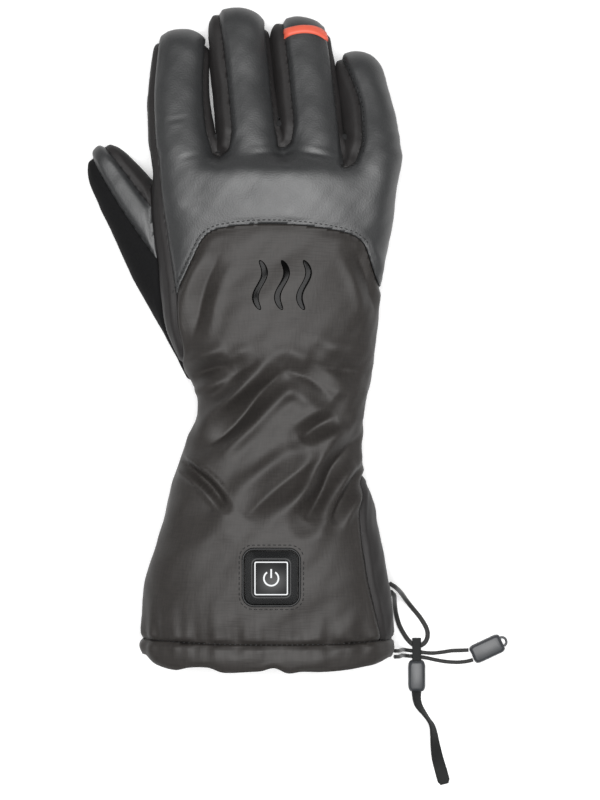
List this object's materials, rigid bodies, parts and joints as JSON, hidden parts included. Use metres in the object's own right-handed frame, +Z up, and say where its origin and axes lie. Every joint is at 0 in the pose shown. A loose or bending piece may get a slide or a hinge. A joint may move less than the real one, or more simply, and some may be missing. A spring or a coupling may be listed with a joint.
{
  "type": "heated glove",
  "caption": "Right-hand padded winter glove with a long fabric cuff, leather fingers, a raised push-button heat control on the cuff and elastic cords at the hem.",
  "frame": {"origin": "on the ground under the middle of the glove, measured without the loose cords and what is on them", "axes": "+Y towards the fingertips, +X towards the little finger, +Z up out of the back of the hand"},
  "size_m": [0.2162, 0.4015, 0.0644],
  "materials": {
    "leather": "smooth padded black leather",
    "side_fabric": "black-brown woven stretch fabric",
    "suede": "matt black brushed suede",
    "cuff_fabric": "charcoal coated ripstop shell fabric",
    "accent": "bright orange-red soft strip",
    "control": "black moulded rubbery plastic",
    "cord": "black braided elastic cord",
    "webbing": "black narrow woven webbing",
    "moulding": "dark grey moulded plastic"
  },
  "bodies": {
    "glove": {"back_leather": "leather", "palm_leather": "leather", "index_side_strip": "side_fabric", "index_middle_side_panel": "side_fabric", "middle_ring_side_panel": "side_fabric", "ring_little_side_panel": "side_fabric", "thumb_strip": "leather", "thumb_inner_panel": "side_fabric", "thumb_outer_panel": "suede", "thumb_palm_panel": "leather", "cuff": "cuff_fabric", "cuff_gusset": "side_fabric", "hem": "cuff_fabric", "accent_strip": "accent", "control_tray": "control", "loop_cord": "cord", "draw_cord_upper": "cord", "draw_cord_lower": "cord", "pull_strap": "webbing", "cord_lock": "moulding", "cord_end": "moulding"},
    "button": {"control_button": "control"}
  },
  "joints": [
    {"name": "button_press", "type": "slide", "parent": "glove", "child": "button", "axis": [0, 0, -1], "range_m": [0, 0.0008], "stiffness_N_per_m": 1500}
  ]
}
